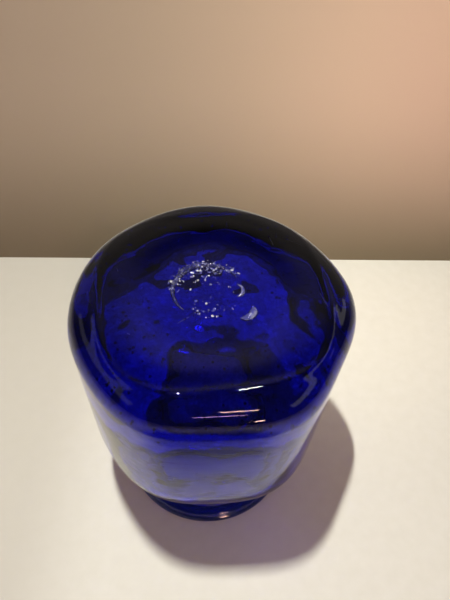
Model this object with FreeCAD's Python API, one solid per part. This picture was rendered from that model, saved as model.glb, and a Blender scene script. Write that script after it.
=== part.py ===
import FreeCAD, Part
import math
import os

# A wide-mouthed bottle of blown glass, standing on its mouth with its base up.
# Millimetres, +Z up, +Y away from the viewer. The origin is the middle of the ring that the lip rests on.

# Overall form of the blown body
HEIGHT = 124.5              # from the lip to the band that the upright bottle stands on
HEEL_DIAMETER = 104.8       # widest place, under the rounded edge of the base
HEEL_ROUND = 13.0           # outside radius of that edge
SHOULDER_DIAMETER = 102.0   # where the wall starts to turn in
SHOULDER_LEVEL = 59.6       # height of that place above the lip
SHOULDER_ROUND = 38.0       # outside radius of the shoulder
NECK_DIAMETER = 72.0
NECK_ROUND = 20.0           # hollow curve between the neck and the shoulder

# Glass thickness
WALL = 3.5                  # neck, shoulder and side
BASE_THICKNESS = 7.0        # at the middle of the base
INNER_HEEL_ROUND = 16.0     # inside radius where the side runs into the base

# Underside of the base
BASE_BAND = 3.0             # width of the flat band at the edge
PUSH_UP = 2.5               # depth of the pushed-in middle
PAD_DIAMETER = 42.0         # flat middle, where the iron was broken off

# Lip, a trail of glass laid round the neck and tooled into two beads
LIP_REACH = 4.0             # how far the bead at the mouth stands out from the neck
LIP_BEAD = 2.6              # radius of that bead
COLLAR_REACH = 3.2          # how far the second bead stands out
COLLAR_BEAD = 1.9           # radius of the second bead
BEAD_PITCH = 4.1            # height from one bead's centre to the other's
GROOVE_ROUND = 0.7          # radius of the hollow between the beads
LIP_RUN_OUT = 2.4           # height over which the trail thins out onto the neck

# Scar of the pontil iron, a broken ring that is open towards the viewer's right
SCAR_X = -2.0               # the iron sat a little off centre
SCAR_Y = 2.0
SCAR_RADIUS = 12.4          # to the middle of the ring
SCAR_FROM = 34.0            # degrees from +X to where the ring starts
SCAR_TO = 232.0             # degrees from +X to where it ends
SCAR_STEPS = 44             # facets of the break along the ring
SCAR_WIDTH = 1.7            # foot of the ring where it broke off clean
SCAR_HEIGHT = 0.7           # crest of the ring where it broke off clean
HEAVY_SIDE = 118.0          # degrees from +X to where most of the iron's glass was left
HEAVY_WIDTH = 2.6           # added to the foot there
HEAVY_HEIGHT = 1.2          # added to the crest there
BREAK_WAVES = ((5, 0.5, 0.6), (11, 0.3, 0.0), (23, 0.2, 1.9))   # waves per turn, share, phase
BREAK_DEPTH = 0.45          # share of the crest's height that the waves take or add
BREAK_WANDER = 0.3          # how far the ring strays from its circle

# Shell-shaped flakes beside the scar: X, Y, outside radius, degrees from +X to the middle of the crescent
FLAKES = ((10.9, -5.9, 4.4, -32.0), (7.9, 2.6, 3.2, 2.0))
FLAKE_WIDTH = 1.8           # at the middle of a crescent
FLAKE_SPREAD = 76.0         # degrees from the middle of a crescent to each tip
FLAKE_HEIGHT = 0.8
FLAKE_BEVEL = 0.4           # how far the top edge stands in from the foot

# Crumbs of glass in the scar, in rows: distance inside the ring's middle, first and last degrees
CRUMB_ROWS = ((4.0, 76.0, 172.0), (6.6, 84.0, 140.0), (1.2, 240.0, 312.0))
CRUMB_COUNTS = (9, 4, 6)    # crumbs in each row
CRUMB_RADIUS = 0.7          # mean size of a crumb's foot
CRUMB_HEIGHT = 0.7
CRUMB_SPREAD = 0.3          # share by which crumbs are larger or smaller than the mean
CRUMB_STRAY = 0.7           # how far a crumb strays from its row

# Places that follow from the sizes above
NECK_R = NECK_DIAMETER / 2
BORE_R = NECK_R - WALL
PAD_LEVEL = HEIGHT - PUSH_UP
INNER_BASE_LEVEL = PAD_LEVEL - BASE_THICKNESS
HEEL_CENTRE = (HEEL_DIAMETER / 2 - HEEL_ROUND, HEIGHT - HEEL_ROUND)
SHOULDER_CENTRE = (SHOULDER_DIAMETER / 2 - SHOULDER_ROUND, SHOULDER_LEVEL)


def spot(r, z):
    """A point of a profile, at a radius and a height."""
    return FreeCAD.Vector(r, 0, z)


def on_circle(centre, radius, degrees):
    """A point of a profile, on a circle about a (radius, height) centre."""
    turn = math.radians(degrees)
    return spot(centre[0] + radius * math.cos(turn), centre[1] + radius * math.sin(turn))


def line(start, end):
    return Part.LineSegment(start, end).toShape()


def arc(centre, radius, start, end):
    """An arc of a profile between two angles in degrees."""
    angles = (start, (start + end) / 2, end)
    return Part.Arc(*(on_circle(centre, radius, angle) for angle in angles)).toShape()


def direction(start, end):
    """Angle in degrees from one (radius, height) place to another."""
    return math.degrees(math.atan2(end[1] - start[1], end[0] - start[0]))


def turned(edges):
    """A solid of revolution about Z from the edges of its half section."""
    face = Part.Face(Part.Wire(edges))
    return face.revolve(FreeCAD.Vector(0, 0, 0), FreeCAD.Vector(0, 0, 1), 360)


def wall_lean():
    """Angle of the side's outward normal: the side is the common tangent of the shoulder and the heel."""
    run = math.dist(SHOULDER_CENTRE, HEEL_CENTRE)
    return direction(SHOULDER_CENTRE, HEEL_CENTRE) - math.degrees(math.acos((SHOULDER_ROUND - HEEL_ROUND) / run))


def neck_centre():
    """Centre of the hollow curve, which touches the neck and the shoulder's arc."""
    r = NECK_R + NECK_ROUND
    reach = SHOULDER_ROUND + NECK_ROUND
    return r, SHOULDER_LEVEL - math.sqrt(reach ** 2 - (r - SHOULDER_CENTRE[0]) ** 2)


def inner_heel_centre(lean):
    """Centre of the inside heel, which touches the inside wall and the inside of the base."""
    z = INNER_BASE_LEVEL - INNER_HEEL_ROUND
    across = math.cos(math.radians(lean))
    along = math.sin(math.radians(lean))
    offset = SHOULDER_ROUND - WALL - INNER_HEEL_ROUND
    return SHOULDER_CENTRE[0] + (offset - (z - SHOULDER_CENTRE[1]) * along) / across, z


def outer_side(lean, hollow, meet):
    """Outside of the body from the neck's end to the edge of the base."""
    neck_end = spot(NECK_R, 0)
    shoulder_end = on_circle(SHOULDER_CENTRE, SHOULDER_ROUND, lean)
    return [
        line(neck_end, spot(NECK_R, hollow[1])),
        arc(hollow, NECK_ROUND, 180, meet + 180),
        arc(SHOULDER_CENTRE, SHOULDER_ROUND, meet, lean),
        line(shoulder_end, on_circle(HEEL_CENTRE, HEEL_ROUND, lean)),
        arc(HEEL_CENTRE, HEEL_ROUND, lean, 90),
    ]


def underside():
    """The base from its edge to the axis: a flat band, an ogee into the push-up, and a flat middle."""
    edge_r = HEEL_CENTRE[0]
    band_r = edge_r - BASE_BAND
    pad_r = PAD_DIAMETER / 2
    half_run = (band_r - pad_r) / 2
    half_drop = PUSH_UP / 2
    bend = (half_run ** 2 + half_drop ** 2) / PUSH_UP
    sweep = 2 * math.degrees(math.atan2(half_drop, half_run))
    return [
        line(spot(edge_r, HEIGHT), spot(band_r, HEIGHT)),
        arc((band_r, HEIGHT - bend), bend, 90, 90 + sweep),
        arc((pad_r, PAD_LEVEL + bend), bend, sweep - 90, -90),
        line(spot(pad_r, PAD_LEVEL), spot(0, PAD_LEVEL)),
    ]


def inner_side(lean, hollow, meet):
    """Inside of the body from the axis at the base to the neck's end."""
    heel = inner_heel_centre(lean)
    heel_end = on_circle(heel, INNER_HEEL_ROUND, lean)
    bore_end = spot(BORE_R, 0)
    return [
        line(spot(0, PAD_LEVEL), spot(0, INNER_BASE_LEVEL)),
        line(spot(0, INNER_BASE_LEVEL), spot(heel[0], INNER_BASE_LEVEL)),
        arc(heel, INNER_HEEL_ROUND, 90, lean),
        line(heel_end, on_circle(SHOULDER_CENTRE, SHOULDER_ROUND - WALL, lean)),
        arc(SHOULDER_CENTRE, SHOULDER_ROUND - WALL, lean, meet),
        arc(hollow, NECK_ROUND + WALL, meet + 180, 180),
        line(spot(BORE_R, hollow[1]), bore_end),
        line(bore_end, spot(NECK_R, 0)),
    ]


def blown_body():
    """Base, side, shoulder and neck, blown from one gather of glass and hollow to the mouth."""
    lean = wall_lean()
    hollow = neck_centre()
    meet = direction(SHOULDER_CENTRE, hollow)
    return turned(outer_side(lean, hollow, meet) + underside() + inner_side(lean, hollow, meet))


def outer_meeting(first, first_reach, second, second_reach):
    """Where circles about two centres cross, on the side away from the axis."""
    apart = math.dist(first, second)
    along = (apart ** 2 + first_reach ** 2 - second_reach ** 2) / (2 * apart)
    swing = math.degrees(math.acos(along / first_reach))
    place = on_circle(first, first_reach, direction(first, second) - swing)
    return place.x, place.z


def applied_lip():
    """The lip: a trail of glass seated on the neck, with a bead at the mouth and a second bead above it."""
    bead = (NECK_R + LIP_REACH - LIP_BEAD, LIP_BEAD)
    collar = (NECK_R + COLLAR_REACH - COLLAR_BEAD, LIP_BEAD + BEAD_PITCH)
    groove = outer_meeting(bead, LIP_BEAD + GROOVE_ROUND, collar, COLLAR_BEAD + GROOVE_ROUND)
    top = (NECK_R, collar[1] + COLLAR_BEAD + LIP_RUN_OUT)
    from_bead = direction(bead, groove)
    from_collar = direction(collar, groove)
    leave = direction(collar, top) - math.degrees(math.acos(COLLAR_BEAD / math.dist(collar, top)))
    return turned([
        line(spot(NECK_R, 0), spot(bead[0], 0)),
        arc(bead, LIP_BEAD, -90, from_bead),
        arc(groove, GROOVE_ROUND, from_bead + 180, from_collar + 180),
        arc(collar, COLLAR_BEAD, from_collar, leave),
        line(on_circle(collar, COLLAR_BEAD, leave), spot(*top)),
        line(spot(*top), spot(NECK_R, 0)),
    ])


def faceted(faces):
    """A solid from flat faces that close."""
    return Part.Solid(Part.Shell(faces))


def flat_face(points):
    """A flat face bounded by a loop of points."""
    return Part.Face(Part.makePolygon(list(points) + [points[0]]))


def scar_place(radius, turn, height):
    """A point at a radius and an angle about the scar's own centre, above the flat of the base."""
    x = SCAR_X + radius * math.cos(turn)
    y = SCAR_Y + radius * math.sin(turn)
    return FreeCAD.Vector(x, y, PAD_LEVEL + height)


def scar_section(share):
    """Inner foot, crest and outer foot of the broken ring at a share of its length: the break is uneven."""
    turn = math.radians(SCAR_FROM + (SCAR_TO - SCAR_FROM) * share)
    ragged = sum(size * math.sin(waves * turn + phase) for waves, size, phase in BREAK_WAVES)
    heavy = max(0.0, math.cos(turn - math.radians(HEAVY_SIDE))) ** 2
    fade = 0.2 + 0.8 * math.sqrt(math.sin(math.pi * share))
    middle = SCAR_RADIUS + BREAK_WANDER * math.sin(4 * turn)
    width = fade * (SCAR_WIDTH + HEAVY_WIDTH * heavy)
    height = fade * (SCAR_HEIGHT + HEAVY_HEIGHT * heavy) * (1 + BREAK_DEPTH * ragged)
    crest = middle + width / 4 * ragged
    return (
        scar_place(middle - width / 2, turn, 0),
        scar_place(crest, turn, height),
        scar_place(middle + width / 2, turn, 0),
    )


def pontil_ring():
    """Broken ring of glass left on the base where the pontil iron was cracked off."""
    sections = [scar_section(step / SCAR_STEPS) for step in range(SCAR_STEPS + 1)]
    faces = [flat_face(sections[0]), flat_face(sections[-1])]
    for here, after in zip(sections, sections[1:]):
        for low, high in ((0, 1), (1, 2)):
            faces.append(flat_face((here[low], here[high], after[low])))
            faces.append(flat_face((here[high], after[high], after[low])))
    inner_edge = [inner for inner, _, _ in sections]
    outer_edge = [outer for _, _, outer in sections]
    faces.append(flat_face(inner_edge + outer_edge[::-1]))
    return faceted(faces)


def crescent(flake, inset, height):
    """Outline of a flake at one height: an outer arc and a flatter inner arc between two tips."""
    x, y, radius, middle = flake

    def at(reach, degrees):
        turn = math.radians(middle + degrees)
        return FreeCAD.Vector(x + reach * math.cos(turn), y + reach * math.sin(turn), PAD_LEVEL + height)

    edge = radius - inset
    hollow = radius - FLAKE_WIDTH + inset
    tips = at(edge, FLAKE_SPREAD), at(edge, -FLAKE_SPREAD)
    return Part.Wire([
        Part.Arc(tips[0], at(edge, 0), tips[1]).toShape(),
        Part.Arc(tips[1], at(hollow, 0), tips[0]).toShape(),
    ])


def pontil_flakes():
    """Shell-shaped flakes of the iron's glass, bevelled to their tops."""
    flakes = []
    for flake in FLAKES:
        outlines = [crescent(flake, 0, 0), crescent(flake, FLAKE_BEVEL, FLAKE_HEIGHT)]
        flakes.append(Part.makeLoft(outlines, True, True))
    return Part.makeCompound(flakes)


def crumb(radius, turn, size):
    """One crumb: a three-sided chip with its point off centre."""
    middle = scar_place(radius, turn, 0)
    swings = [2 * math.pi * corner / 3 + 5 * turn for corner in range(3)]
    foot = [middle + FreeCAD.Vector(size * math.cos(swing), size * math.sin(swing), 0) for swing in swings]
    point = (middle + foot[0]) / 2 + FreeCAD.Vector(0, 0, CRUMB_HEIGHT * size / CRUMB_RADIUS)
    sides = [flat_face((near, far, point)) for near, far in zip(foot, foot[1:] + foot[:1])]
    return faceted(sides + [flat_face(foot)])


def pontil_crumbs():
    """Crumbs of the iron's glass, in rows inside the heavy side of the ring and along its open side."""
    crumbs = []
    for (inside, first, last), count in zip(CRUMB_ROWS, CRUMB_COUNTS):
        for place in range(count):
            turn = math.radians(first + (last - first) * place / (count - 1))
            size = CRUMB_RADIUS * (1 + CRUMB_SPREAD * math.sin(7 * place + inside))
            radius = SCAR_RADIUS - inside + CRUMB_STRAY * math.sin(2.4 * place)
            crumbs.append(crumb(radius, turn, size))
    return Part.makeCompound(crumbs)


def main():
    os.makedirs("parts", exist_ok=True)
    for build in (blown_body, applied_lip, pontil_ring, pontil_flakes, pontil_crumbs):
        build().exportStep("parts/" + build.__name__ + ".step")


main()
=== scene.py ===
import math

import bmesh
import bpy
from mathutils import Matrix, Vector, noise


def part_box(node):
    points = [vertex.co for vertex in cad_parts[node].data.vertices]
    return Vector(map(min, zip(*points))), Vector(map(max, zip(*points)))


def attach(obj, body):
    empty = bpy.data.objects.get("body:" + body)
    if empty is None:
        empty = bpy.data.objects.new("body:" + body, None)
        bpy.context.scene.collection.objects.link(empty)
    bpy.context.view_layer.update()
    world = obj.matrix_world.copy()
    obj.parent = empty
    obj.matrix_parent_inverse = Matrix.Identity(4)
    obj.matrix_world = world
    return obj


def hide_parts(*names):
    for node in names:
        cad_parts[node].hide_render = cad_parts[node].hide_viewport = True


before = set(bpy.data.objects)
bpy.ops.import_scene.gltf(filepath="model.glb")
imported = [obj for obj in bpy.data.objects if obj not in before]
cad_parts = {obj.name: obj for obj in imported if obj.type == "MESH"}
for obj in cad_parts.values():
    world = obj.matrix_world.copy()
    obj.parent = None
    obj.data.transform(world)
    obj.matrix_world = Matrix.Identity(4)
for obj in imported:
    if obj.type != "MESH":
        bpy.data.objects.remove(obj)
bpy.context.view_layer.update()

# A wide-mouthed bottle of blown cobalt glass, standing on its mouth with its scarred base up.
# Metres, +Z up, +Y away from the camera, the origin in the middle of the ring that the lip rests on.

MM = 0.001
MERGED = 0.002 * MM         # points this close are one

# Half section of the body, as in the solids
BODY_LOW, BODY_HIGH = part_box("blown_body")
HEIGHT = BODY_HIGH[2]
HEEL_RADIUS = (BODY_HIGH[0] - BODY_LOW[0]) / 2
HEEL_ROUND = 13 * MM
SHOULDER_RADIUS = 51 * MM
SHOULDER_LEVEL = 59.6 * MM
SHOULDER_ROUND = 38 * MM
NECK_RADIUS = 36 * MM
NECK_ROUND = 20 * MM
WALL = 3.5 * MM
BASE_THICKNESS = 7 * MM
INNER_HEEL_ROUND = 24 * MM  # rounder than in the solids
BASE_BAND = 3 * MM
PUSH_UP = 2.5 * MM
PAD_RADIUS = 21 * MM
PAD_LEVEL = HEIGHT - PUSH_UP

# A soft ridge where the base turns into the heel, drawn out to four corners by the blower's paddle
CREST_RADIUS = 43 * MM
CREST_SQUARE = 2.4 * MM     # how far the corners stand out and the sides stay in
CREST_CORNER = 56           # degrees round from +X to a corner
CREST_HEIGHT = 0.8 * MM
CREST_BACK_HEIGHT = 0.2 * MM
CREST_FALL = -0.1, 0.6      # sines of the turn between which it falls to its height at the back
CREST_SPREAD = 1.5 * MM
CREST_FADE = 10 * MM
CREST_ABOVE = HEIGHT - 16 * MM
CREST_FULL_ABOVE = HEIGHT - 3 * MM

# Half section of the lip, as in the solids
LIP_REACH = 4 * MM
LIP_BEAD = 2.6 * MM
COLLAR_REACH = 3.2 * MM
COLLAR_BEAD = 1.9 * MM
BEAD_PITCH = 4.1 * MM
GROOVE_ROUND = 0.7 * MM
LIP_RUN_OUT = 2.4 * MM
FUSED = 0.3 * MM            # how far one piece of glass sinks into the next where they are fused

# Shape of the hand-blown wall: waves round the body, their size and their turn in degrees
LOBES = ((3, 0.2 * MM, 88), (4, 0.17 * MM, -3), (5, 0.65 * MM, -4), (6, 0.49 * MM, 54), (7, 0.42 * MM, 113))
ROUND_BELOW = 22 * MM       # neck and lip stay round up to here
LOBED_ABOVE = 60 * MM

# Ripples of the wall, which are deeper inside and deepest inside the heel
OUTSIDE_RIPPLE = 0.15 * MM
INSIDE_RIPPLE = 3 * MM
INSIDE_FROM = 0.52          # share of the half section's length where its inside starts
LIP_RIPPLE = 0.25 * MM
RIPPLE_LENGTH = 15 * MM
RIPPLE_STRETCH = 0.4
LEVEL_BELOW, RIPPLED_ABOVE = 2 * MM, 12 * MM    # the mouth stands level on the table
HEEL_RIPPLE_FROM, HEEL_RIPPLE_TO = 84 * MM, 100 * MM
HEEL_RIPPLE_SHARE = 1.7

# Seeds, the small bubbles that are left in the glass: their depth, sizes, and numbers for each square metre
SEED_DEPTH = 1.6 * MM
SEED_SMALLEST, SEED_LARGEST = 0.12 * MM, 0.65 * MM
SEEDS_IN_WALL, SEEDS_IN_BASE = 2500.0, 120000.0
SEEDED_BASE_ABOVE = 112 * MM
SEEDED_BASE_FADE = 6 * MM

# The pontil scar on the base: a broken ridge, two flakes and strewn grit, with angles in degrees
SCAR_X, SCAR_Y = -2 * MM, 2 * MM
SCAR_RADIUS = 12.4 * MM
SCAR_FROM, SCAR_TO = 34, 232
HEAVY_SIDE, HEAVY_SPREAD = 118, 52
RIDGE_STATIONS, RIDGE_CORNERS = 220, 10
RIDGE_WIDTH, RIDGE_HEAVY_WIDTH = 1.3 * MM, 2.2 * MM
RIDGE_HEIGHT, RIDGE_HEAVY_HEIGHT = 0.45 * MM, 0.5 * MM
RIDGE_WANDER = 0.55 * MM
RIDGE_WIDTH_LUMPS, RIDGE_HEIGHT_LUMPS, RIDGE_SKIN_LUMPS = 0.5, 0.6, 0.7
# Each flake: centre, radius of its curve, its turn, its greatest width, and how far it reaches to either side
FLAKES = ((10.9 * MM, -5.9 * MM, 4 * MM, -36, 3.4 * MM, 64), (7.9 * MM, 2.6 * MM, 3 * MM, 2, 1.7 * MM, 76))
FLAKE_HEIGHT = 0.7 * MM
FLAKE_STATIONS, FLAKE_CORNERS = 40, 10
FLAKE_WIDTH_LUMPS, FLAKE_SKIN_LUMPS = 0.25, 0.2
FLAKE_TIP = 0.02            # share of its length where a flake's end is cut off
# Each zone of grit: inner and outer radius, first and last angle, and grains for each square millimetre
GRIT_ZONES = ((9.8 * MM, 14.6 * MM, 34, 190, 1.2), (5.5 * MM, 10.5 * MM, 62, 150, 1.0),
              (9 * MM, 12.8 * MM, 240, 328, 0.6), (1 * MM, 10 * MM, 0, 360, 0.12))
GRIT_STEPS = 24
GRIT_SMALLEST, GRIT_LARGEST = 0.14 * MM, 0.58 * MM
GRIT_SUNK = 0.04 * MM
GRIT_BREAK = 0.35 * MM
GRIT_BREAKS = 1800.0        # in a metre
GRIT_STRETCH = (0.7, 0.7, 0.55), (1.5, 1.1, 0.95)
GRIT_TURN = (-0.3, -0.3, -3.1), (0.3, 0.3, 3.1)

# Colours and clearness of the glass
GLASS_IOR = 1.52
DEPTH_BLUE = (0.1, 0.05, 0.86, 1)
THIN_BLUE, THICK_BLUE = (0.2, 0.24, 0.97, 1), (0.13, 0.16, 0.5, 1)
LIP_BLUE = (0.02, 0.06, 0.97, 1)
BODY_DENSITY, LIP_DENSITY, SCAR_DENSITY = 330, 70, 60.0
BODY_CLEAR, LIP_CLEAR = 1, 0.9
BODY_THICK_ABOVE = 110 * MM
LIP_THICK_ABOVE = 300 * MM  # above the whole bottle, so the lip counts as thin
THICK_FADE = 14 * MM
# Broken glass: its dark colour and the pale colour of its painted glints, facets and glints for each metre,
# and how clear it is
SCAR_GLASS = (0.12, 0.13, 0.5, 1), (0.86, 0.9, 1, 1), 700.0, 0.55
RIDGE_GLASS = (0.12, 0.13, 0.55, 1), (0.62, 0.65, 0.95, 1), 900.0, 0.88
FLAKE_GLASS = (0.14, 0.15, 0.6, 1), (0.46, 0.49, 0.9, 1), 330.0, 0.7
# Span of the facet mottle over which broken glass turns to the pale colour of its painted glints
PAINTED_GLINT_SPAN = 0.5, 0.6
BROKEN_ROUGHNESS = 0.4, 0.7, 0.04, 0.25
POLISH, BODY_SCUFF, LIP_SCUFF = 0.015, 0.3, 0.2
# Strength and depth of the relief in the surface
GLASS_RELIEF, BROKEN_RELIEF = (0.35, 0.12 * MM), (0.6, 0.3 * MM)

# Marks in the glass, as how many lie in a metre
CORDS, MOTTLES, RUBBED_GRAINS, SMEARS, RIPPLES, PEEL_SPOTS = 38.0, 260.0, 1500.0, 55.0, 110.0, 420.0
CORD_FLATNESS = (1.0, 1.0, 3.0)
SCRATCHES = (40.0, 1100.0, 160.0)   # along, across and down a scratch
SCRATCH_TURNS = (25, 70, 140)       # degrees
RUBBED_BAND = HEIGHT - 1.6 * MM, HEIGHT - 0.3 * MM
# How strong they are, and where in their pattern they start and are full
CORD_SHARE, THICK_SHARE, MOTTLE_SHARE, PEEL_SHARE, SCORE_SHARE = 0.9, 0.75, 4.0, 0.3, 0.12
RUBBED, HAZE = (0.58, 0.74, 0.0, 0.35), (0.55, 0.75, 0.0, 0.2)
SCRATCHED, HANDLED = (0.78, 0.84), (0.52, 0.64)

# Stage
FLOOR_REACH = 1.5
FLOOR_PATCHES = 160.0
# Painted shade: the floor turns to a duller colour far to the left, where less light falls
FLOOR_DULL, FLOOR_PALE, FLOOR_PAINTED_SHADE = (0.685, 0.69, 0.612, 1), (0.752, 0.76, 0.694, 1), (0.52, 0.51, 0.44, 1)
FLOOR_PAINTED_SHADE_SPAN, FLOOR_PAINTED_SHADE_SHARE = (-0.09, -0.04), 0.65
BACKDROP_GAP = 134.5 * MM
BACKDROP_LEAN = 0.0724
BACKDROP_HEIGHT = 0.2
# Painted shade makes the backdrop darker towards its foot, and painted warm light makes it pinker to the
# right
BACKDROP_PAINTED_SHADE, BACKDROP_TOP = (0.2, 0.16, 0.1, 1), (0.52, 0.42, 0.31, 1)
BACKDROP_PAINTED_LIGHT = (0.72, 0.45, 0.36, 1)
BACKDROP_SHADE_RISE = -0.01, 0.13
BACKDROP_PAINTED_LIGHT_SPAN, BACKDROP_PAINTED_LIGHT_SHARE = (-0.06, 0.16), 0.55
# A black card on the floor before the bottle, painted shade that only the front wall mirrors
CARD_CORNERS = ((-0.14, -0.4), (0.14, -0.4), (0.14, -0.055), (-0.14, -0.055))
CARD_LEVEL = 2 * MM
CARD_PAINTED_SHADE = (0.01, 0.01, 0.012, 1)
CARD_NEAR_FADE, CARD_FAR_FADE, CARD_SIDE_FADE = (-0.105, -0.06), (-0.38, -0.18), (0.05, 0.13)

# Light of the room on the stage, and how the glass mirrors the room before and behind the bottle
ROOM_LIGHT = (0.196, 0.15, 0.148, 1)
ROOM_BEFORE, ROOM_BEHIND = (0.035, 0.031, 0.031, 1), (0.23, 0.2, 0.19, 1)
ROOM_CHANGE = 0.25, 0.85    # along Y, in a direction of length one

# Lamps: name, place, goal, size, watts, colour, spread in degrees, and whether they reach all, glass or stage
BULB, TUBE, DAYLIGHT = (1.0, 0.96, 0.88), (1.0, 0.97, 0.92), (1.0, 0.95, 0.9)
ROSE, MAUVE, PINK, PEACH = (1.0, 0.58, 0.48), (0.8, 0.42, 0.85), (1.0, 0.55, 0.52), (1.0, 0.9, 0.72)
COBALT, VIOLET = (0.06, 0.06, 1.0), (0.15, 0.1, 1.0)
LAMPS = (
    ("overhead_lamp", (-0.07, 0.0, 0.7), (0, 0, 0), (0.036, 0.01), 1.62, BULB, 110, "stage"),
    ("overhead_glint", (-0.07, 0.0, 0.7), (0, 0, 0), (0.042, 0.018), 1.62, BULB, 110, "glass"),
    ("overhead_strip", (0.12, 0.0, 0.8), (0.05, 0, 0), (0.3, 0.02), 1.3, TUBE, 180, "glass"),
    ("front_lamp", (0.2, -0.69, 0.78), (0, 0, 0.08), (0.22, 0.06), 0.8, ROSE, 180, "all"),
    ("front_lamp_low", (0.1, -0.69, 0.5), (0, 0, 0.08), (0.17, 0.035), 0.2, MAUVE, 180, "all"),
    ("low_glow", (0.33, -0.9, 0.12), (0, -0.04, 0.004), (0.2, 0.16), 0.04, PINK, 10, "glass"),
    ("right_strip", (0.8, 0.0, 0.5), (0, 0, 0.1), (1.2, 0.2), 0.42, DAYLIGHT, 180, "all"),
    ("left_strip", (-0.8, -0.1, 0.5), (0, 0, 0.1), (1.0, 0.2), 0.16, DAYLIGHT, 180, "all"),
    ("light_in_mouth", (0.0, 0.0, 0.045), (0, 0, 0), (0.04, 0.04), 0.0008, COBALT, 100, "all"),
    ("backdrop_lamp", (0.1, -0.1, 0.3), (0.065, 0.14, 0.1), (0.06, 0.06), 0.07, PEACH, 64, "stage"),
    ("light_in_shadow", (0.055, -0.065, 0.045), (0.03, -0.043, 0), (0.02, 0.02), 0.00025, VIOLET, 60,
     "stage"),
)

# Camera, from the photograph's vanishing point and outline
EYE = Vector((4.54, -129.85, 276.13)) * MM
LOOK_RIGHT = Vector((0.9982, 0.0461, 0.0382))
LOOK_AHEAD = Vector((0.0, 0.6378, -0.7702))
FOCAL_PIXELS = 565
LONG_SIDE_PIXELS = 600
SENSOR_MM = 36
NEAREST_SEEN = 0.01


class Wiring:
    """A short way to place nodes in a tree and link them."""

    def __init__(self, tree):
        self.tree = tree

    def add(self, kind, inputs=None, **settings):
        """Places a node, sets its properties, and feeds its inputs by name or index."""
        node = self.tree.nodes.new(kind)
        for name, value in settings.items():
            setattr(node, name, value)
        for key, value in (inputs or {}).items():
            self.feed(node.inputs[key], value)
        return node

    def feed(self, socket, value):
        """Links another socket to a socket, or sets its value."""
        if isinstance(value, bpy.types.NodeSocket):
            self.tree.links.new(value, socket)
        else:
            socket.default_value = value

    def first(self, kind, inputs=None, **settings):
        """The first output of a new node."""
        return self.add(kind, inputs, **settings).outputs[0]

    def math(self, operation, *values):
        return self.first("ShaderNodeMath", dict(enumerate(values)), operation=operation)

    def vector(self, operation, *values):
        return self.first("ShaderNodeVectorMath", dict(enumerate(values)), operation=operation)

    def scaled(self, vector, factor):
        return self.first("ShaderNodeVectorMath", {0: vector, "Scale": factor}, operation="SCALE")

    def parts(self, vector):
        """X, Y and Z of a vector, by their names."""
        return self.add("ShaderNodeSeparateXYZ", {0: vector}).outputs

    def ramp(self, value, low, high, out_low=0.0, out_high=1.0):
        """Smooth step from one value to another between two limits."""
        inputs = {"Value": value, "From Min": low, "From Max": high, "To Min": out_low, "To Max": out_high}
        return self.first("ShaderNodeMapRange", inputs, interpolation_type="SMOOTHSTEP")

    def mottle(self, place, scale, detail):
        """A cloudy pattern between nothing and one."""
        return self.first("ShaderNodeTexNoise", {"Vector": place, "Scale": scale, "Detail": detail})

    def mixed(self, share, first, second):
        """A colour between two colours."""
        return self.add("ShaderNodeMix", {0: share, 6: first, 7: second}, data_type="RGBA").outputs[2]

    def place(self):
        """The place on the piece that a material colours."""
        return self.add("ShaderNodeTexCoord").outputs["Object"]

    def relief(self, height, strength, depth):
        """Normals of a surface with a height in it."""
        return self.first("ShaderNodeBump", {"Strength": strength, "Distance": depth, "Height": height})


def new_tree(name, kind, inputs, outputs):
    """A node group with named sockets, ready for nodes. Returns its wiring, input node and output node."""
    tree = bpy.data.node_groups.new(name, kind)
    for label, socket in inputs:
        tree.interface.new_socket(label, in_out="INPUT", socket_type="NodeSocket" + socket)
    for label, socket in outputs:
        tree.interface.new_socket(label, in_out="OUTPUT", socket_type="NodeSocket" + socket)
    wiring = Wiring(tree)
    return wiring, wiring.add("NodeGroupInput").outputs, wiring.add("NodeGroupOutput").inputs


def show(name, mesh):
    piece = bpy.data.objects.new(name, mesh)
    bpy.context.scene.collection.objects.link(piece)
    return piece


def grown(name, seed_mesh, tree, values):
    """A plain mesh piece from a geometry tree on a mesh, with the tree's inputs set by their names."""
    carrier = show(name + "_carrier", seed_mesh)
    modifier = carrier.modifiers.new("grow", "NODES")
    modifier.node_group = tree
    for item in tree.interface.items_tree:
        if item.in_out == "INPUT" and item.name in values:
            modifier[item.identifier] = values[item.name]
    carrier.update_tag()
    evaluated = carrier.evaluated_get(bpy.context.evaluated_depsgraph_get())
    mesh = bpy.data.meshes.new_from_object(evaluated)
    bpy.data.objects.remove(carrier)
    mesh.name = name
    return show(name, mesh)


def turn_faces_out(work):
    """Turns every face of a closed mesh under construction outwards."""
    bmesh.ops.recalc_face_normals(work, faces=work.faces)
    if work.calc_volume(signed=True) < 0:
        bmesh.ops.reverse_faces(work, faces=work.faces)


# Half sections

def on_circle(centre, radius, degrees):
    turn = math.radians(degrees)
    return centre[0] + radius * math.cos(turn), centre[1] + radius * math.sin(turn)


def arc(centre, radius, start, end):
    """Places on an arc between two angles, about two degrees apart."""
    steps = max(2, round(abs(end - start) / 2))
    return [on_circle(centre, radius, start + (end - start) * step / steps) for step in range(steps + 1)]


def direction(start, end):
    return math.degrees(math.atan2(end[1] - start[1], end[0] - start[0]))


def underside():
    """From the axis to the edge of the base: flat middle, ogee, and the band that it stands on upright."""
    edge = HEEL_RADIUS - HEEL_ROUND
    band = edge - BASE_BAND
    half_run = (band - PAD_RADIUS) / 2
    half_drop = PUSH_UP / 2
    bend = (half_run ** 2 + half_drop ** 2) / PUSH_UP
    sweep = 2 * math.degrees(math.atan2(half_drop, half_run))
    rise = arc((PAD_RADIUS, PAD_LEVEL + bend), bend, -90, sweep - 90)
    return [(0, PAD_LEVEL)] + rise + arc((band, HEIGHT - bend), bend, 90 + sweep, 90)


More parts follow.
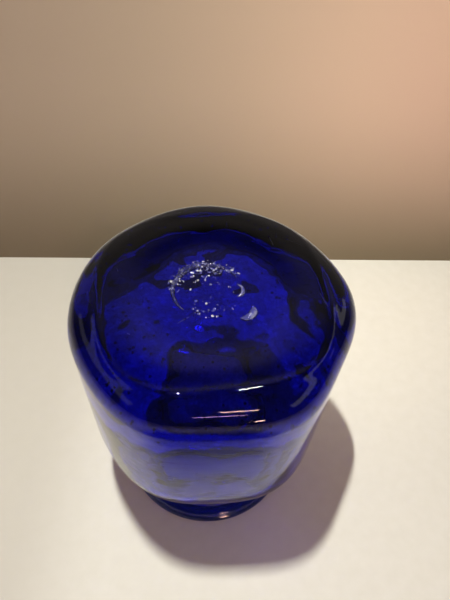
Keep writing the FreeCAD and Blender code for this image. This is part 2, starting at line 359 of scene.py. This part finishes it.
def body_section():
    """Outside from the middle of the base to the mouth, then inside back to the middle of the base."""
    heel = (HEEL_RADIUS - HEEL_ROUND, HEIGHT - HEEL_ROUND)
    shoulder = (SHOULDER_RADIUS - SHOULDER_ROUND, SHOULDER_LEVEL)
    reach = SHOULDER_ROUND + NECK_ROUND
    hollow_r = NECK_RADIUS + NECK_ROUND
    hollow = (hollow_r, SHOULDER_LEVEL - math.sqrt(reach ** 2 - (hollow_r - shoulder[0]) ** 2))
    meet = direction(shoulder, hollow)
    slack = math.acos((SHOULDER_ROUND - HEEL_ROUND) / math.dist(shoulder, heel))
    lean = direction(shoulder, heel) - math.degrees(slack)
    outside = underside() + arc(heel, HEEL_ROUND, 90, lean) + arc(shoulder, SHOULDER_ROUND, lean, meet)
    outside += arc(hollow, NECK_ROUND, meet + 180, 180) + [(NECK_RADIUS, 0)]

    inner_base = PAD_LEVEL - BASE_THICKNESS
    heel_z = inner_base - INNER_HEEL_ROUND
    offset = SHOULDER_ROUND - WALL - INNER_HEEL_ROUND
    lean_turn = math.radians(lean)
    heel_r = shoulder[0] + (offset - (heel_z - shoulder[1]) * math.sin(lean_turn)) / math.cos(lean_turn)
    inside = [(NECK_RADIUS - WALL, 0)] + arc(hollow, NECK_ROUND + WALL, 180, meet + 180)
    inside += arc(shoulder, SHOULDER_ROUND - WALL, meet, lean)
    inside += arc((heel_r, heel_z), INNER_HEEL_ROUND, lean, 90) + [(0, inner_base)]
    return outside + inside


def lip_section():
    """Loop round the lip's trail: foot on the table, two beads, run-out, and seat in the neck."""
    bead = (NECK_RADIUS + LIP_REACH - LIP_BEAD, LIP_BEAD)
    collar = (NECK_RADIUS + COLLAR_REACH - COLLAR_BEAD, LIP_BEAD + BEAD_PITCH)
    bead_reach = LIP_BEAD + GROOVE_ROUND
    collar_reach = COLLAR_BEAD + GROOVE_ROUND
    apart = math.dist(bead, collar)
    along = (apart ** 2 + bead_reach ** 2 - collar_reach ** 2) / (2 * apart)
    swing = math.degrees(math.acos(along / bead_reach))
    groove = on_circle(bead, bead_reach, direction(bead, collar) - swing)
    top = (NECK_RADIUS, collar[1] + COLLAR_BEAD + LIP_RUN_OUT)
    from_bead = direction(bead, groove)
    from_collar = direction(collar, groove)
    leave = direction(collar, top) - math.degrees(math.acos(COLLAR_BEAD / math.dist(collar, top)))
    seat = NECK_RADIUS - FUSED
    foot = (seat, 0)
    loop = [foot] + arc(bead, LIP_BEAD, -90, from_bead)
    loop += arc(groove, GROOVE_ROUND, from_bead + 180, from_collar + 180)
    loop += arc(collar, COLLAR_BEAD, from_collar, leave) + [(seat, top[1]), foot]
    return loop


def section_mesh(name, places):
    """A half section as a string of edges in the XZ plane."""
    mesh = bpy.data.meshes.new(name)
    edges = [(place, place + 1) for place in range(len(places) - 1)]
    mesh.from_pydata([(r, 0, z) for r, z in places], edges, [])
    return mesh


# The blown wall

def crest_dip(wire, radius, turn, level):
    """How far the base sinks beside its crest, which then stands up as a soft, four-cornered ridge."""
    corners = wire.math("COSINE", wire.math("MULTIPLY_ADD", turn, 4.0, -4 * math.radians(CREST_CORNER)))
    crest = wire.math("MULTIPLY_ADD", corners, CREST_SQUARE, CREST_RADIUS)
    out = wire.math("ABSOLUTE", wire.math("SUBTRACT", radius, crest))
    share = wire.math("POWER", wire.math("DIVIDE", out, CREST_SPREAD), 2.0)
    hollow = wire.math("SUBTRACT", 1.0, wire.math("EXPONENT", wire.math("MULTIPLY", share, -1.0)))
    beside = wire.ramp(out, 0.0, CREST_FADE, 1.0, 0.0)
    fade = wire.math("MULTIPLY", beside, wire.ramp(level, CREST_ABOVE, CREST_FULL_ABOVE))
    height = wire.ramp(wire.math("SINE", turn), *CREST_FALL, CREST_HEIGHT, CREST_BACK_HEIGHT)
    return wire.math("MULTIPLY", wire.math("MULTIPLY", hollow, fade), height)


def lobe_swell(wire, turn):
    """How far the waves round the body stand out at a turn."""
    swell = 0.0
    for order, size, degrees in LOBES:
        phase = wire.math("MULTIPLY_ADD", turn, float(order), math.radians(degrees))
        swell = wire.math("MULTIPLY_ADD", wire.math("SINE", phase), size, swell)
    return swell


def ripple_offset(wire, given):
    """How far the wall moves along its normals, by a noise that is drawn out along the bottle."""
    here = wire.first("GeometryNodeInputPosition")
    level = wire.parts(here)["Z"]
    stretch = wire.first("ShaderNodeCombineXYZ", {"X": 1.0, "Y": 1.0, "Z": given["Ripple stretch"]})
    pattern = wire.vector("DIVIDE", wire.vector("MULTIPLY", here, stretch), given["Ripple length"])
    waves = wire.mottle(pattern, 1.0, 1.5)
    along = wire.first("GeometryNodeInputNamedAttribute", {"Name": "share"}, data_type="FLOAT")
    inner = wire.math("GREATER_THAN", along, given["Inside from"])
    deeper = wire.ramp(level, HEEL_RIPPLE_FROM, HEEL_RIPPLE_TO, 1.0, HEEL_RIPPLE_SHARE)
    inside = wire.math("MULTIPLY", deeper, given["Inside ripple"])
    size = wire.ramp(inner, 0.0, 1.0, given["Ripple height"], inside)
    height = wire.math("MULTIPLY", wire.math("SUBTRACT", waves, 0.5), size)
    height = wire.math("MULTIPLY", height, wire.ramp(level, LEVEL_BELOW, RIPPLED_ABOVE))
    return wire.scaled(wire.first("GeometryNodeInputNormal"), height)


def turned_glass_tree():
    """Geometry nodes that turn a half section into a closed wall, lobed and rippled as blown glass is."""
    inputs = [("Half section", "Geometry"), ("Steps along", "Int"), ("Steps round", "Int")]
    inputs += [("Round below", "Float"), ("Lobed above", "Float"), ("Lobe share", "Float")]
    inputs += [("Ripple height", "Float"), ("Inside ripple", "Float"), ("Inside from", "Float")]
    inputs += [("Ripple length", "Float"), ("Ripple stretch", "Float"), ("Glass", "Material")]
    wire, given, result = new_tree("Turned glass", "GeometryNodeTree", inputs, [("Wall", "Geometry")])
    rows = wire.math("ADD", given["Steps along"], 1)
    columns = wire.math("ADD", given["Steps round"], 1)
    grid = wire.first("GeometryNodeMeshGrid", {"Vertices X": rows, "Vertices Y": columns})
    cell = wire.parts(wire.first("GeometryNodeInputPosition"))
    share = wire.math("ADD", cell["X"], 0.5)
    turn = wire.math("MULTIPLY", cell["Y"], 2 * math.pi)
    path = wire.first("GeometryNodeMeshToCurve", {"Mesh": given["Half section"]})
    sample = wire.add("GeometryNodeSampleCurve", {"Curves": path, "Factor": share}, mode="FACTOR")
    spot = wire.parts(sample.outputs["Position"])

    fade = wire.ramp(spot["Z"], given["Round below"], given["Lobed above"], 0.0, given["Lobe share"])
    outwards = wire.math("DIVIDE", spot["X"], HEEL_RADIUS)
    swell = wire.math("MULTIPLY", wire.math("MULTIPLY", lobe_swell(wire, turn), fade), outwards)
    radius = wire.math("ADD", spot["X"], swell)
    dip = crest_dip(wire, radius, turn, spot["Z"])
    outer = wire.math("LESS_THAN", share, given["Inside from"])
    level = wire.math("SUBTRACT", spot["Z"], wire.math("MULTIPLY", dip, outer))
    x = wire.math("MULTIPLY", radius, wire.math("COSINE", turn))
    y = wire.math("MULTIPLY", radius, wire.math("SINE", turn))
    goal = wire.first("ShaderNodeCombineXYZ", {"X": x, "Y": y, "Z": level})

    wall = wire.first("GeometryNodeStoreNamedAttribute", {"Geometry": grid, "Name": "share", "Value": share})
    wall = wire.first("GeometryNodeSetPosition", {"Geometry": wall, "Position": goal})
    wall = wire.first("GeometryNodeMergeByDistance", {"Geometry": wall, "Distance": MERGED})
    wall = wire.first("GeometryNodeSetPosition", {"Geometry": wall, "Offset": ripple_offset(wire, given)})
    wall = wire.first("GeometryNodeSetShadeSmooth", {"Geometry": wall})
    wall = wire.first("GeometryNodeRemoveAttribute", {"Geometry": wall, "Name": "share"})
    wall = wire.first("GeometryNodeRealizeInstances", {0: wall})
    wall = wire.first("GeometryNodeSetMaterial", {"Geometry": wall, "Material": given["Glass"]})
    wire.feed(result["Wall"], wall)
    return wire.tree


def facing_out(piece):
    """Turns every face of a closed piece outwards."""
    work = bmesh.new()
    work.from_mesh(piece.data)
    turn_faces_out(work)
    work.to_mesh(piece.data)
    work.free()


# Seeds in the glass

def set_in(places, depth):
    """A half section moved into the glass by a depth."""
    moved = []
    for before, here, after in zip(places, places[1:], places[2:]):
        run, rise = after[0] - before[0], after[1] - before[1]
        length = math.hypot(run, rise)
        moved.append((here[0] + depth * rise / length, here[1] - depth * run / length))
    return moved


def seeds_tree():
    """Geometry nodes that strew bubbles over a surface inside the glass, faces towards their hollows."""
    inputs = [("Layer", "Geometry"), ("Seeds in wall", "Float"), ("Seeds in base", "Float")]
    inputs += [("Base above", "Float"), ("Smallest", "Float"), ("Largest", "Float"), ("Seed", "Int")]
    inputs += [("Glass", "Material")]
    wire, given, result = new_tree("Seeds", "GeometryNodeTree", inputs, [("Bubbles", "Geometry")])
    level = wire.parts(wire.first("GeometryNodeInputPosition"))["Z"]
    start = wire.math("SUBTRACT", given["Base above"], SEEDED_BASE_FADE)
    density = wire.ramp(level, start, given["Base above"], given["Seeds in wall"], given["Seeds in base"])
    points = wire.add("GeometryNodeDistributePointsOnFaces",
                      {"Mesh": given["Layer"], "Density": density, "Seed": given["Seed"]}).outputs
    chance = wire.add("FunctionNodeRandomValue", {"Min": 0.0, "Max": 1.0, "Seed": given["Seed"]},
                      data_type="FLOAT").outputs[1]
    rare = wire.math("POWER", chance, 3.0)
    size = wire.ramp(rare, 0.0, 1.0, given["Smallest"], given["Largest"])
    bubble = wire.first("GeometryNodeMeshIcoSphere", {"Radius": 1.0, "Subdivisions": 1})
    bubbles = wire.first("GeometryNodeInstanceOnPoints", {
        "Points": points["Points"], "Instance": bubble, "Rotation": points["Rotation"], "Scale": size})
    bubbles = wire.first("GeometryNodeRealizeInstances", {0: bubbles})
    bubbles = wire.first("GeometryNodeFlipFaces", {0: bubbles})
    bubbles = wire.first("GeometryNodeSetShadeSmooth", {"Geometry": bubbles})
    bubbles = wire.first("GeometryNodeSetMaterial", {"Geometry": bubbles, "Material": given["Glass"]})
    wire.feed(result["Bubbles"], bubbles)
    return wire.tree


def joined(piece, extra):
    """Adds an extra piece's mesh to a piece and drops the extra."""
    work = bmesh.new()
    work.from_mesh(piece.data)
    work.from_mesh(extra.data)
    work.to_mesh(piece.data)
    work.free()
    bpy.data.objects.remove(extra)


# The scar that the pontil rod left

def scar_place(degrees, radius):
    return on_circle((SCAR_X, SCAR_Y), radius, degrees)


def near(value, centre, spread):
    """One at a centre, falling to nothing over a spread, round the circle."""
    apart = (value - centre + 180) % 360 - 180
    return math.exp(-(apart / spread) ** 2)


def lumps(*place):
    return noise.noise(Vector(place))


def uneven(size, *place):
    """A factor that is a little more or less than one, from place to place."""
    return 1 + size * lumps(*place)


def skinned(work, rows):
    """Closes a mesh under construction over rows of corners, from one end to the other."""
    for near_row, far_row in zip(rows, rows[1:]):
        for corner in range(len(near_row) - 1):
            work.faces.new((near_row[corner], far_row[corner], far_row[corner + 1], near_row[corner + 1]))
        work.faces.new((near_row[-1], far_row[-1], far_row[0], near_row[0]))
    work.faces.new(rows[0])
    work.faces.new(rows[-1])


def finished(name, work, material):
    """A closed piece from a mesh under construction, its faces outwards and smooth."""
    bmesh.ops.remove_doubles(work, verts=work.verts, dist=0.001 * MM)
    turn_faces_out(work)
    for face in work.faces:
        face.smooth = True
    mesh = bpy.data.meshes.new(name)
    work.to_mesh(mesh)
    work.free()
    mesh.materials.append(material)
    return show(name, mesh)


def pontil_ridge(glass):
    """The broken ridge left by the rod's rim: a lumpy half round, wider and higher on its heavy side."""
    work = bmesh.new()
    rows = []
    for station in range(RIDGE_STATIONS + 1):
        share = station / RIDGE_STATIONS
        degrees = SCAR_FROM + (SCAR_TO - SCAR_FROM) * share
        ends = math.sin(math.pi * share) ** 0.35 + 0.04
        heavy = near(degrees, HEAVY_SIDE, HEAVY_SPREAD)
        wander = RIDGE_WANDER * lumps(share * 9, 3.1, 0)
        width = (RIDGE_WIDTH + heavy * RIDGE_HEAVY_WIDTH) * ends
        width *= uneven(RIDGE_WIDTH_LUMPS, share * 14, 0, 7.7)
        height = (RIDGE_HEIGHT + heavy * RIDGE_HEAVY_HEIGHT) * ends
        height *= uneven(RIDGE_HEIGHT_LUMPS, share * 22, 5.2, 0)
        row = []
        for corner in range(RIDGE_CORNERS + 1):
            across = corner / RIDGE_CORNERS
            swell = math.sin(math.pi * across) * uneven(RIDGE_SKIN_LUMPS, share * 40, across * 4, 2.2)
            x, y = scar_place(degrees, SCAR_RADIUS + wander + (across - 0.5) * width)
            row.append(work.verts.new((x, y, PAD_LEVEL - FUSED + (FUSED + height) * max(swell, 0))))
        rows.append(row)
    skinned(work, rows)
    return finished("scar_ridge", work, glass)


def pontil_flakes(glass):
    """Shell-shaped flakes beside the ridge: domed crescents with a thin inner edge."""
    work = bmesh.new()
    for x, y, radius, turn, widest, spread in FLAKES:
        rows = []
        for station in range(FLAKE_STATIONS + 1):
            share = station / FLAKE_STATIONS
            degrees = turn + (share * 2 - 1) * spread
            full = math.sin(math.pi * min(max(share, FLAKE_TIP), 1 - FLAKE_TIP)) ** 0.6
            width = widest * full * uneven(FLAKE_WIDTH_LUMPS, share * 5, x / MM, 0)
            row = []
            for corner in range(FLAKE_CORNERS + 1):
                across = corner / FLAKE_CORNERS
                rise = math.sin(math.pi * across ** 0.75)
                rise *= uneven(FLAKE_SKIN_LUMPS, share * 9, across * 3, y / MM)
                place = on_circle((x, y), radius - width * 0.5 + across * width, degrees)
                level = PAD_LEVEL - FUSED + (FUSED + FLAKE_HEIGHT * full) * rise
                row.append(work.verts.new((*place, level)))
            rows.append(row)
        skinned(work, rows)
    return finished("scar_flakes", work, glass)


def grit_field():
    """Flat patches on the base, with the number of grains for each square metre on every face."""
    places, faces, counts = [], [], []
    for inner, outer, first, last, count in GRIT_ZONES:
        start = len(places)
        for step in range(GRIT_STEPS + 1):
            degrees = first + (last - first) * step / GRIT_STEPS
            places.append((*scar_place(degrees, inner), PAD_LEVEL))
            places.append((*scar_place(degrees, outer), PAD_LEVEL))
        for step in range(GRIT_STEPS):
            low = start + 2 * step
            faces.append((low, low + 1, low + 3, low + 2))
            counts.append(count / (MM * MM))
    mesh = bpy.data.meshes.new("grit_field")
    mesh.from_pydata(places, [], faces)
    attribute = mesh.attributes.new("grains", "FLOAT", "FACE")
    attribute.data.foreach_set("value", counts)
    return mesh


def grit_tree():
    """Geometry nodes that strew sharp-edged grains over a patch, each sunk into the glass below it."""
    inputs = [("Patch", "Geometry"), ("Smallest", "Float"), ("Largest", "Float"), ("Sunk", "Float")]
    inputs += [("Seed", "Int"), ("Glass", "Material")]
    wire, given, result = new_tree("Broken grit", "GeometryNodeTree", inputs, [("Grit", "Geometry")])
    count = wire.first("GeometryNodeInputNamedAttribute", {"Name": "grains"}, data_type="FLOAT")
    points = wire.add("GeometryNodeDistributePointsOnFaces",
                      {"Mesh": given["Patch"], "Density": count, "Seed": given["Seed"]}).outputs
    chance = wire.add("FunctionNodeRandomValue", {"Seed": given["Seed"]}, data_type="FLOAT").outputs[1]
    size = wire.ramp(wire.math("POWER", chance, 2.5), 0.0, 1.0, given["Smallest"], given["Largest"])
    stretch = wire.first("FunctionNodeRandomValue", {**dict(enumerate(GRIT_STRETCH)), "Seed": 5},
                         data_type="FLOAT_VECTOR")
    turn = wire.first("FunctionNodeRandomValue", {**dict(enumerate(GRIT_TURN)), "Seed": 9},
                      data_type="FLOAT_VECTOR")
    grain = wire.first("GeometryNodeMeshIcoSphere", {"Radius": 1.0, "Subdivisions": 1})
    grains = wire.first("GeometryNodeInstanceOnPoints", {
        "Points": points["Points"], "Instance": grain, "Rotation": turn, "Scale": wire.scaled(stretch, size)})
    down = wire.first("ShaderNodeCombineXYZ", {"Z": wire.math("MULTIPLY", given["Sunk"], -1.0)})
    grains = wire.first("GeometryNodeTranslateInstances",
                        {0: grains, "Translation": down, "Local Space": False})
    grains = wire.first("GeometryNodeRealizeInstances", {0: grains})
    here = wire.first("GeometryNodeInputPosition")
    breaks = {"Vector": here, "Scale": GRIT_BREAKS, "Detail": 1.0}
    rough = wire.add("ShaderNodeTexNoise", breaks).outputs["Color"]
    shift = wire.scaled(wire.vector("SUBTRACT", rough, (0.5, 0.5, 0.5)), GRIT_BREAK)
    grains = wire.first("GeometryNodeSetPosition", {"Geometry": grains, "Offset": shift})
    grains = wire.first("GeometryNodeSetShadeSmooth", {"Geometry": grains, "Shade Smooth": False})
    grains = wire.first("GeometryNodeSetMaterial", {"Geometry": grains, "Material": given["Glass"]})
    wire.feed(result["Grit"], grains)
    return wire.tree


# Materials

def new_material(name):
    """A material. Returns it with its wiring and its Principled shader."""
    material = bpy.data.materials.new(name)
    material.use_nodes = True
    return material, Wiring(material.node_tree), material.node_tree.nodes["Principled BSDF"]


def glass_tint(wire, given, here, flat):
    """Colour of the glass: from thin to thick, with cords drawn through it and mottling where it is thick."""
    level = wire.parts(here)["Z"]
    cords = wire.mottle(flat, CORDS, 3.0)
    low = wire.math("SUBTRACT", given["Thick above"], THICK_FADE)
    thick = wire.ramp(level, low, given["Thick above"])
    base = wire.math("MULTIPLY", thick, THICK_SHARE)
    share = wire.math("MULTIPLY_ADD", wire.math("SUBTRACT", cords, 0.5), CORD_SHARE, base)
    spots = {"Vector": here, "Scale": MOTTLES, "Detail": 4.0, "Roughness": 0.7}
    mottle = wire.math("SUBTRACT", wire.first("ShaderNodeTexNoise", spots), 0.5)
    mottle = wire.math("MULTIPLY", mottle, wire.math("MULTIPLY", thick, MOTTLE_SHARE))
    share = wire.math("ADD", share, mottle)
    share = wire.first("ShaderNodeClamp", {"Value": share})
    return wire.mixed(share, given["Thin tint"], given["Thick tint"])


def hairline_scratches(wire, here, smear):
    """Fine scratches in a few directions, where the glass was handled."""
    scratches = 0.0
    for degrees in SCRATCH_TURNS:
        turned = wire.first("ShaderNodeVectorRotate", {"Vector": here, "Angle": math.radians(degrees)},
                            rotation_type="Z_AXIS")
        streak = wire.mottle(wire.vector("MULTIPLY", turned, SCRATCHES), 1.0, 0.0)
        scratches = wire.math("ADD", scratches, wire.ramp(streak, *SCRATCHED))
    return wire.math("MULTIPLY", scratches, wire.ramp(smear, *HANDLED))


def glass_marks_group():
    """What years and blowing left on the glass: cords, scuffs on its base band, hairlines and ripples."""
    inputs = [("Thin tint", "Color"), ("Thick tint", "Color"), ("Thick above", "Float"), ("Polish", "Float")]
    inputs += [("Scuff", "Float")]
    outputs = [("Tint", "Color"), ("Roughness", "Float"), ("Height", "Float")]
    wire, given, result = new_tree("Glass marks", "ShaderNodeTree", inputs, outputs)
    here = wire.place()
    flat = wire.vector("MULTIPLY", here, CORD_FLATNESS)
    wire.feed(result["Tint"], glass_tint(wire, given, here, flat))

    band = wire.ramp(wire.parts(here)["Z"], *RUBBED_BAND)
    grain = wire.mottle(here, RUBBED_GRAINS, 2.0)
    rubbed = wire.math("MULTIPLY", band, wire.ramp(grain, *RUBBED))
    smear = wire.mottle(here, SMEARS, 4.0)
    haze = wire.ramp(smear, *HAZE)
    scratches = hairline_scratches(wire, here, smear)
    marks = wire.math("ADD", wire.math("ADD", rubbed, haze), scratches)
    wire.feed(result["Roughness"], wire.math("MULTIPLY_ADD", marks, given["Scuff"], given["Polish"]))

    ripple = wire.mottle(flat, RIPPLES, 2.0)
    ripple = wire.math("MULTIPLY_ADD", wire.mottle(here, PEEL_SPOTS, 1.0), PEEL_SHARE, ripple)
    scored = wire.math("MULTIPLY", wire.math("ADD", scratches, rubbed), SCORE_SHARE)
    wire.feed(result["Height"], wire.math("SUBTRACT", ripple, scored))
    return wire.tree


def let_light_through(wire, shader, density, clear):
    """Makes a material glass that is clear to a share and takes up light by its thickness."""
    shader.inputs["IOR"].default_value = GLASS_IOR
    shader.inputs["Transmission Weight"].default_value = clear
    depth = wire.first("ShaderNodeVolumeAbsorption", {"Color": DEPTH_BLUE, "Density": density})
    wire.feed(wire.tree.nodes["Material Output"].inputs["Volume"], depth)


def cobalt_glass(name, marks, values, density, clear):
    """Glass that is tinted at its faces and darkens with its thickness."""
    material, wire, shader = new_material(name)
    worn = wire.add("ShaderNodeGroup", node_tree=marks)
    for label, value in values.items():
        worn.inputs[label].default_value = value
    wire.feed(shader.inputs["Base Color"], worn.outputs["Tint"])
    wire.feed(shader.inputs["Roughness"], worn.outputs["Roughness"])
    wire.feed(shader.inputs["Normal"], wire.relief(worn.outputs["Height"], *GLASS_RELIEF))
    let_light_through(wire, shader, density, clear)
    return material


def broken_glass(name, hollow, glint_colour, grain, clear):
    """Glass where it broke from the rod: dark blue, with pale painted glints strewn over its rough facets."""
    material, wire, shader = new_material(name)
    facets_and_glints = wire.mottle(wire.place(), grain, 2.0)
    painted_glints = wire.ramp(facets_and_glints, *PAINTED_GLINT_SPAN)
    wire.feed(shader.inputs["Base Color"], wire.mixed(painted_glints, hollow, glint_colour))
    wire.feed(shader.inputs["Roughness"], wire.ramp(facets_and_glints, *BROKEN_ROUGHNESS))
    wire.feed(shader.inputs["Normal"], wire.relief(facets_and_glints, *BROKEN_RELIEF))
    let_light_through(wire, shader, SCAR_DENSITY, clear)
    return material


def floor_material():
    """Pale and faintly mottled, with painted shade that makes it duller far to the left."""
    material, wire, shader = new_material("pale floor")
    here = wire.place()
    pale = wire.mixed(wire.mottle(here, FLOOR_PATCHES, 4.0), FLOOR_DULL, FLOOR_PALE)
    painted_side = wire.ramp(wire.parts(here)["X"], *FLOOR_PAINTED_SHADE_SPAN, FLOOR_PAINTED_SHADE_SHARE, 0.0)
    wire.feed(shader.inputs["Base Color"], wire.mixed(painted_side, pale, FLOOR_PAINTED_SHADE))
    shader.inputs["Roughness"].default_value = 0.8
    return material


def backdrop_material():
    """Painted shade darkens it towards its foot, painted warm light makes it pinker to the right, and it is
    seen from its front only.
    """
    material, wire, shader = new_material("backdrop")
    place = wire.parts(wire.place())
    share = wire.ramp(place["Z"], *BACKDROP_SHADE_RISE)
    shaded = wire.mixed(share, BACKDROP_PAINTED_SHADE, BACKDROP_TOP)
    painted_side = wire.ramp(place["X"], *BACKDROP_PAINTED_LIGHT_SPAN, 0.0, BACKDROP_PAINTED_LIGHT_SHARE)
    shaded_and_lit = wire.mixed(wire.math("MULTIPLY", painted_side, share), shaded, BACKDROP_PAINTED_LIGHT)
    wire.feed(shader.inputs["Base Color"], shaded_and_lit)
    shader.inputs["Roughness"].default_value = 0.85
    behind = wire.add("ShaderNodeNewGeometry").outputs["Backfacing"]
    clear = wire.first("ShaderNodeBsdfTransparent")
    front = wire.first("ShaderNodeMixShader", {0: behind, 1: shader.outputs[0], 2: clear})
    wire.feed(wire.tree.nodes["Material Output"].inputs["Surface"], front)
    return material


def card_material():
    """Black painted shade, thinning out on all sides."""
    material, wire, shader = new_material("painted shade card")
    shader.inputs["Base Color"].default_value = CARD_PAINTED_SHADE
    shader.inputs["Roughness"].default_value = 0.9
    place = wire.parts(wire.place())
    ahead = wire.ramp(place["Y"], *CARD_NEAR_FADE, 1.0, 0.0)
    painted_side = wire.ramp(wire.math("ABSOLUTE", place["X"]), *CARD_SIDE_FADE, 1.0, 0.0)
    away = wire.ramp(place["Y"], *CARD_FAR_FADE)
    wire.feed(shader.inputs["Alpha"], wire.math("MULTIPLY", wire.math("MULTIPLY", ahead, painted_side), away))
    return material


# Stage, lights and camera

def sheet_mesh(name, corners, material):
    mesh = bpy.data.meshes.new(name)
    mesh.from_pydata(corners, [], [tuple(range(len(corners)))])
    mesh.materials.append(material)
    return show(name, mesh)


def build_stage():
    side = FLOOR_REACH
    square = [(-side, -side, 0), (side, -side, 0), (side, side, 0), (-side, side, 0)]
    floor = sheet_mesh("floor", square, floor_material())
    left = BACKDROP_GAP - side * BACKDROP_LEAN
    right = BACKDROP_GAP + side * BACKDROP_LEAN
    top = BACKDROP_HEIGHT
    upright = [(-side, left, 0), (side, right, 0), (side, right, top), (-side, left, top)]
    backdrop = sheet_mesh("backdrop", upright, backdrop_material())
    card = sheet_mesh("painted_shade_card", [(x, y, CARD_LEVEL) for x, y in CARD_CORNERS], card_material())
    backdrop.visible_glossy = False
    card.visible_camera = card.visible_diffuse = card.visible_shadow = card.visible_transmission = False


def lamp(name, place, goal, size, power, color, spread, reach):
    """A flat lamp that points at a goal and lights all there is, the glass alone or the stage alone."""
    data = bpy.data.lights.new(name, "AREA")
    data.shape = "RECTANGLE"
    data.size, data.size_y = size
    data.energy = power
    data.color = color
    data.spread = math.radians(spread)
    light = bpy.data.objects.new(name, data)
    light.location = place
    light.rotation_euler = (Vector(goal) - Vector(place)).to_track_quat("-Z", "Y").to_euler()
    bpy.context.scene.collection.objects.link(light)
    if reach == "glass":
        light.visible_diffuse = False
    if reach == "stage":
        light.visible_camera = light.visible_glossy = light.visible_transmission = False


def dim_room():
    """Soft light from all round, from a room that the glass mirrors as dark, a little lighter behind."""
    world = bpy.data.worlds.new("room")
    world.use_nodes = True
    wire = Wiring(world.node_tree)
    mirrored = wire.add("ShaderNodeLightPath").outputs["Is Glossy Ray"]
    ahead = wire.parts(wire.add("ShaderNodeTexCoord").outputs["Generated"])["Y"]
    dark = wire.mixed(wire.ramp(ahead, *ROOM_CHANGE), ROOM_BEFORE, ROOM_BEHIND)
    background = world.node_tree.nodes["Background"]
    wire.feed(background.inputs["Color"], wire.mixed(mirrored, ROOM_LIGHT, dark))
    return world


def build_lights():
    for row in LAMPS:
        lamp(*row)
    bpy.context.scene.world = dim_room()


def build_camera():
    data = bpy.data.cameras.new("camera")
    data.sensor_width = SENSOR_MM
    data.lens = SENSOR_MM * FOCAL_PIXELS / LONG_SIDE_PIXELS
    data.clip_start = NEAREST_SEEN
    camera = bpy.data.objects.new("camera", data)
    look_up = LOOK_RIGHT.cross(LOOK_AHEAD)
    turn = Matrix((LOOK_RIGHT, look_up, -LOOK_AHEAD)).transposed()
    camera.matrix_world = Matrix.Translation(EYE) @ turn.to_4x4()
    bpy.context.scene.collection.objects.link(camera)
    bpy.context.scene.camera = camera


# Pieces

def fused(piece, node):
    """Takes a finished piece into the frame in place of its solid."""
    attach(piece, "root")
    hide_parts(node)


def seeded_body(tree, values):
    """The blown wall, with seeds strewn on a layer below its outside."""
    places = body_section()
    body = grown("bottle_body", section_mesh("body_section", places), tree, values)
    facing_out(body)
    outside = places[:places.index((NECK_RADIUS, 0))]
    layer_values = dict(values, **{"Steps along": 120, "Steps round": 60})
    layer = grown("seed_layer", section_mesh("seed_section", set_in(outside, SEED_DEPTH)), tree, layer_values)
    seed_values = {
        "Seeds in wall": SEEDS_IN_WALL, "Seeds in base": SEEDS_IN_BASE, "Base above": SEEDED_BASE_ABOVE,
        "Smallest": SEED_SMALLEST, "Largest": SEED_LARGEST, "Seed": 11, "Glass": values["Glass"],
    }
    seeds = grown("seeds", layer.data, seeds_tree(), seed_values)
    bpy.data.objects.remove(layer)
    joined(body, seeds)
    return body


def tooled_lip(tree, values):
    lip = grown("bottle_lip", section_mesh("lip_section", lip_section()), tree, values)
    facing_out(lip)
    return lip


def main():
    marks = glass_marks_group()
    worn = {"Thin tint": THIN_BLUE, "Thick tint": THICK_BLUE, "Thick above": BODY_THICK_ABOVE,
            "Polish": POLISH, "Scuff": BODY_SCUFF}
    tooled = dict(worn, **{"Thin tint": LIP_BLUE, "Thick above": LIP_THICK_ABOVE, "Scuff": LIP_SCUFF})
    body_glass = cobalt_glass("cobalt glass", marks, worn, BODY_DENSITY, BODY_CLEAR)
    lip_glass = cobalt_glass("lip glass", marks, tooled, LIP_DENSITY, LIP_CLEAR)
    scar_glass = broken_glass("scar glass", *SCAR_GLASS)
    ridge_glass = broken_glass("ridge glass", *RIDGE_GLASS)
    flake_glass = broken_glass("flake glass", *FLAKE_GLASS)

    tree = turned_glass_tree()
    body_values = {
        "Steps along": 400, "Steps round": 180, "Round below": ROUND_BELOW, "Lobed above": LOBED_ABOVE,
        "Lobe share": 1.0, "Ripple height": OUTSIDE_RIPPLE, "Inside ripple": INSIDE_RIPPLE,
        "Inside from": INSIDE_FROM, "Ripple length": RIPPLE_LENGTH, "Ripple stretch": RIPPLE_STRETCH,
        "Glass": body_glass,
    }
    lip_values = dict(body_values, **{
        "Steps along": 96, "Lobe share": 0.0, "Ripple height": LIP_RIPPLE, "Inside ripple": LIP_RIPPLE,
        "Inside from": 2.0, "Glass": lip_glass,
    })
    fused(seeded_body(tree, body_values), "blown_body")
    fused(tooled_lip(tree, lip_values), "applied_lip")
    fused(pontil_ridge(ridge_glass), "pontil_ring")
    fused(pontil_flakes(flake_glass), "pontil_flakes")
    grit_values = {"Smallest": GRIT_SMALLEST, "Largest": GRIT_LARGEST, "Sunk": GRIT_SUNK, "Seed": 4,
                   "Glass": scar_glass}
    fused(grown("scar_grit", grit_field(), grit_tree(), grit_values), "pontil_crumbs")

    build_stage()
    build_lights()
    build_camera()
    bpy.context.scene.view_settings.view_transform = "Standard"


main()
